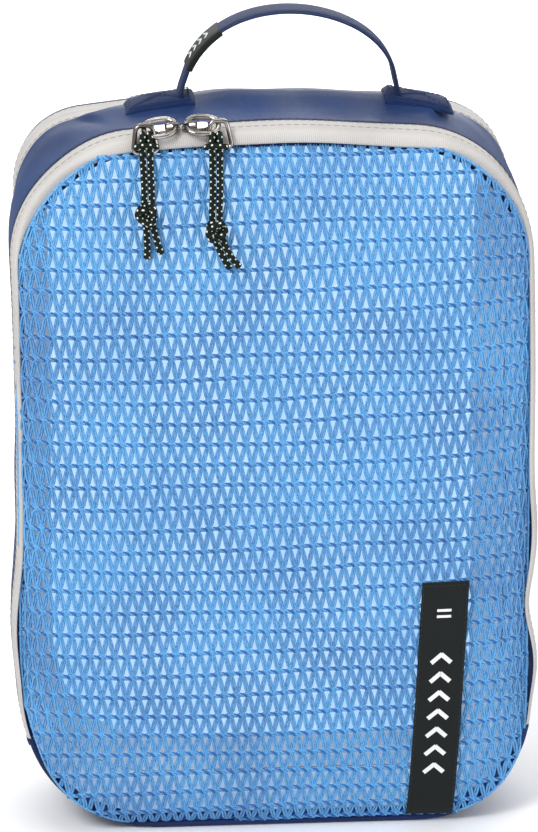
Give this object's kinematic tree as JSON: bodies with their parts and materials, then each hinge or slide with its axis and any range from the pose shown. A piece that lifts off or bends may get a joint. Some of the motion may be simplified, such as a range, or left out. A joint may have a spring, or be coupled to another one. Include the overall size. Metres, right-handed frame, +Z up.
{
  "type": "packing cube",
  "caption": "Soft upright packing cube: net front lid on a wrap-around double zipper with corded pulls, slim expansion zipper behind, arched webbing handle on top.",
  "frame": {"origin": "under the middle of the case, on the floor it stands on", "axes": "+X to the right seen from the net lid's side, +Y from the lid towards the back panel, +Z up towards the handle"},
  "size_m": [0.181, 0.0915, 0.2847],
  "materials": {
    "gusset_fabric": "coated ripstop, slight sheen",
    "zip_tape": "woven polyester tape",
    "net": "knitted net",
    "webbing": "ribbed webbing",
    "label": "woven label",
    "lining": "plain weave",
    "plated_metal": "dark nickel plating",
    "cord": "braided cord"
  },
  "bodies": {
    "case": {"main_gusset": "gusset_fabric", "bottom_binding": "gusset_fabric", "case_zip_tape": "zip_tape", "case_zip_coil": "zip_tape", "zip_stops": "gusset_fabric", "expansion_front_tape": "zip_tape", "expansion_front_coil": "zip_tape", "expansion_pleat": "gusset_fabric", "handle_anchor_left": "webbing", "handle_anchor_right": "webbing"},
    "lid": {"lid_net": "net", "lid_zip_tape": "zip_tape", "lid_zip_coil": "zip_tape", "front_label": "label"},
    "rear": {"expansion_rear_tape": "zip_tape", "expansion_rear_coil": "zip_tape", "rear_gusset": "gusset_fabric", "back_panel": "lining", "rear_binding": "webbing"},
    "handle": {"handle_strap": "webbing", "handle_tag": "label"},
    "zip_slider_left": {"slider_left": "plated_metal"},
    "pull_ring_left": {"ring_left": "plated_metal"},
    "pull_left": {"link_left": "plated_metal", "hitch_left": "cord", "knot_left": "cord", "cord_left_outer": "cord", "cord_left_inner": "cord"},
    "zip_slider_right": {"slider_right": "plated_metal"},
    "pull_ring_right": {"ring_right": "plated_metal"},
    "pull_right": {"link_right": "plated_metal", "hitch_right": "cord", "knot_right": "cord", "cord_right_outer": "cord", "cord_right_inner": "cord"},
    "rear_slider": {"expansion_slider": "plated_metal"},
    "rear_pull": {"expansion_pull": "plated_metal"}
  },
  "joints": [
    {"name": "lid_fold", "type": "hinge", "parent": "case", "child": "lid", "pos_m": [0, -0.0282, 0.002], "axis": [1, 0, 0], "range_deg": [0, 72]},
    {"name": "expansion_slide", "type": "slide", "parent": "case", "child": "rear", "axis": [0, 1, 0], "range_m": [0, 0.035], "deforming": ["expansion_pleat"]},
    {"name": "handle_fold", "type": "hinge", "parent": "case", "child": "handle", "pos_m": [0.00756, 0.0083, 0.25475], "axis": [0.9999, 0, -0.0144], "range_deg": [-50, 50]},
    {"name": "slider_left_travel", "type": "hinge", "parent": "lid", "child": "zip_slider_left", "pos_m": [0, -0.0241, -0.269], "axis": [0, 1, 0], "range_deg": [-0.8, 0]},
    {"name": "ring_left_swing", "type": "hinge", "parent": "zip_slider_left", "child": "pull_ring_left", "pos_m": [-0.03356, -0.0295, 0.25262], "axis": [-0.0389, 0.766, 0.6416], "range_deg": [0, 90]},
    {"name": "pull_left_swing", "type": "hinge", "parent": "pull_ring_left", "child": "pull_left", "pos_m": [-0.04416, -0.03021, 0.25138], "axis": [-0.0389, 0.766, 0.6416], "range_deg": [-6, 10]},
    {"name": "slider_right_travel", "type": "hinge", "parent": "lid", "child": "zip_slider_right", "pos_m": [0, -0.0241, -0.269], "axis": [0, 1, 0], "range_deg": [0, 7.6]},
    {"name": "ring_right_swing", "type": "hinge", "parent": "zip_slider_right", "child": "pull_ring_right", "pos_m": [-0.02977, -0.0295, 0.25285], "axis": [0.0389, -0.766, -0.6416], "range_deg": [0, 90]},
    {"name": "pull_right_swing", "type": "hinge", "parent": "pull_ring_right", "child": "pull_right", "pos_m": [-0.01912, -0.0305, 0.25266], "axis": [0.0389, -0.766, -0.6416], "range_deg": [-4, 12]},
    {"name": "rear_slider_travel", "type": "slide", "parent": "case", "child": "rear_slider", "axis": [0, 0, 1], "range_m": [0, 0.12]},
    {"name": "rear_pull_swing", "type": "hinge", "parent": "rear_slider", "child": "rear_pull", "pos_m": [0.0894, 0.031, 0.0722], "axis": [0, -1, 0], "range_deg": [0, 110]}
  ]
}
